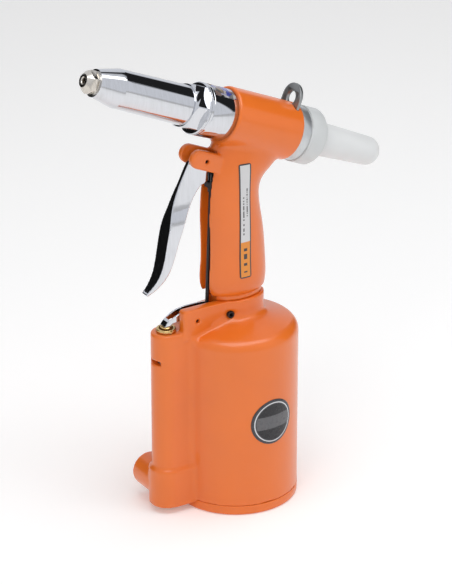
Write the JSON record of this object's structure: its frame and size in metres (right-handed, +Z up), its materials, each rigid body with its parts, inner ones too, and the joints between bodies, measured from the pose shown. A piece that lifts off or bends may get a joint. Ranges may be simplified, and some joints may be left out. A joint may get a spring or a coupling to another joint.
{
  "type": "pneumatic rivet gun",
  "caption": "Hand-held air-hydraulic blind-rivet gun with an upright air cylinder, inclined chromed nose barrel, long lever trigger with pull rod, hook and collector bottle.",
  "frame": {"origin": "centre of the air cylinder's bottom face", "axes": "+Z up along the air cylinder, the nose towards -X and rising 23 degrees, width along Y"},
  "size_m": [0.2373, 0.0891, 0.3387],
  "materials": {
    "orange_paint": "glossy stove enamel on an aluminium casting",
    "seal_rubber": "nitrile rubber",
    "black_steel": "black oxide",
    "machined_steel": "machined",
    "tool_steel": "hardened",
    "spring_steel": "drawn wire",
    "copper_washer": "soft copper",
    "polished_chrome": "polished chrome plate",
    "nickel": "satin nickel plate",
    "plain_aluminium": "turned",
    "grey_plastic": "moulded",
    "clear_bottle": "milky polyethylene",
    "brass": "turned",
    "badge_black": "domed resin",
    "label_foil": "printed foil"
  },
  "bodies": {
    "frame": {"air_cylinder": "orange_paint", "base_cap": "orange_paint", "base_cap_oring": "seal_rubber", "handle_lock_screw": "black_steel", "ram_guide": "machined_steel", "ram_seal": "seal_rubber", "stroke_bumper": "seal_rubber", "head_handle": "orange_paint", "oil_screw": "machined_steel", "oil_screw_washer": "copper_washer", "front_collar": "polished_chrome", "collar_oring": "seal_rubber", "draw_rod_seal": "seal_rubber", "nose_barrel": "polished_chrome", "nosepiece": "nickel", "tail_ring": "plain_aluminium", "return_spring": "spring_steel", "mandrel_tube": "machined_steel", "tail_cap": "grey_plastic", "hook_plate": "machined_steel", "trigger_pin": "machined_steel", "trigger_washers": "machined_steel", "rocker_pin": "machined_steel", "valve_nut": "brass", "valve_sleeve": "plain_aluminium", "valve_spring": "spring_steel", "valve_plug": "brass", "inlet_strainer": "brass", "badge": "badge_black", "rating_label": "label_foil", "seal_label": "label_foil"},
    "trigger": {"trigger_lever": "polished_chrome", "rod_top_pin": "machined_steel"},
    "pull_rod": {"rod_clevis": "black_steel", "pull_rod": "black_steel"},
    "rocker": {"rocker_lever": "polished_chrome", "rod_foot_pin": "machined_steel"},
    "valve": {"valve_stem": "brass"},
    "air_piston": {"air_piston": "plain_aluminium", "air_piston_seal": "seal_rubber", "air_piston_nut": "machined_steel", "hydraulic_ram": "machined_steel"},
    "puller": {"pulling_piston": "machined_steel", "pulling_piston_seal": "seal_rubber", "jaw_case": "machined_steel", "jaw_spring": "spring_steel"},
    "jaw_1": {"jaw_1": "tool_steel"},
    "jaw_2": {"jaw_2": "tool_steel"},
    "jaw_3": {"jaw_3": "tool_steel"},
    "jaw_pusher": {"jaw_pusher": "machined_steel"},
    "bottle": {"collector_bottle": "clear_bottle"}
  },
  "joints": [
    {"name": "trigger_pull", "type": "hinge", "parent": "frame", "child": "trigger", "pos_m": [-0.0285, 0, 0.2593], "axis": [0, -1, 0], "range_deg": [0, 14], "stiffness_Nm_per_rad": 0.8},
    {"name": "rod_swing", "type": "hinge", "parent": "trigger", "child": "pull_rod", "pos_m": [-0.02, 0, 0.246], "axis": [0, -1, 0], "range_deg": [-16.3, 0]},
    {"name": "rocker_tilt", "type": "hinge", "parent": "frame", "child": "rocker", "pos_m": [-0.038, 0, 0.144], "axis": [0, -1, 0], "range_deg": [0, 11.2]},
    {"name": "valve_push", "type": "slide", "parent": "frame", "child": "valve", "axis": [0, 0, -1], "range_m": [0, 0.00396], "stiffness_N_per_m": 400, "deforming": ["valve_spring"]},
    {"name": "air_stroke", "type": "slide", "parent": "frame", "child": "air_piston", "axis": [0, 0, 1], "range_m": [0, 0.09], "stiffness_N_per_m": 60, "springref_m": -0.05},
    {"name": "pull_stroke", "type": "slide", "parent": "frame", "child": "puller", "axis": [0.9205, 0, -0.3907], "range_m": [0, 0.01698], "deforming": ["return_spring"]},
    {"name": "jaw_1_grip", "type": "slide", "parent": "puller", "child": "jaw_1", "axis": [-0.9767, 0, 0.2147], "range_m": [0, 0.00121]},
    {"name": "jaw_2_grip", "type": "slide", "parent": "puller", "child": "jaw_2", "axis": [-0.8689, 0.1593, 0.4687], "range_m": [0, 0.00121]},
    {"name": "jaw_3_grip", "type": "slide", "parent": "puller", "child": "jaw_3", "axis": [-0.8689, -0.1593, 0.4687], "range_m": [0, 0.00121]},
    {"name": "jaw_pusher_slide", "type": "slide", "parent": "puller", "child": "jaw_pusher", "axis": [-0.9205, 0, 0.3907], "range_m": [0, 0.0012], "deforming": ["jaw_spring"]},
    {"name": "bottle_pull", "type": "slide", "parent": "frame", "child": "bottle", "axis": [0.9205, 0, -0.3907], "range_m": [0, 0.04]}
  ],
  "couplings": [
    {"joint": "rod_swing", "follows": "trigger_pull", "ratio": -1.1534},
    {"joint": "rocker_tilt", "follows": "trigger_pull", "ratio": 0.78631},
    {"joint": "valve_push", "follows": "trigger_pull", "m_per_rad": 0.016166},
    {"joint": "pull_stroke", "follows": "air_stroke", "ratio": 0.1875},
    {"joint": "jaw_1_grip", "follows": "air_stroke", "ratio": 0.013333},
    {"joint": "jaw_2_grip", "follows": "air_stroke", "ratio": 0.013333},
    {"joint": "jaw_3_grip", "follows": "air_stroke", "ratio": 0.013333},
    {"joint": "jaw_pusher_slide", "follows": "air_stroke", "ratio": 0.013105}
  ]
}
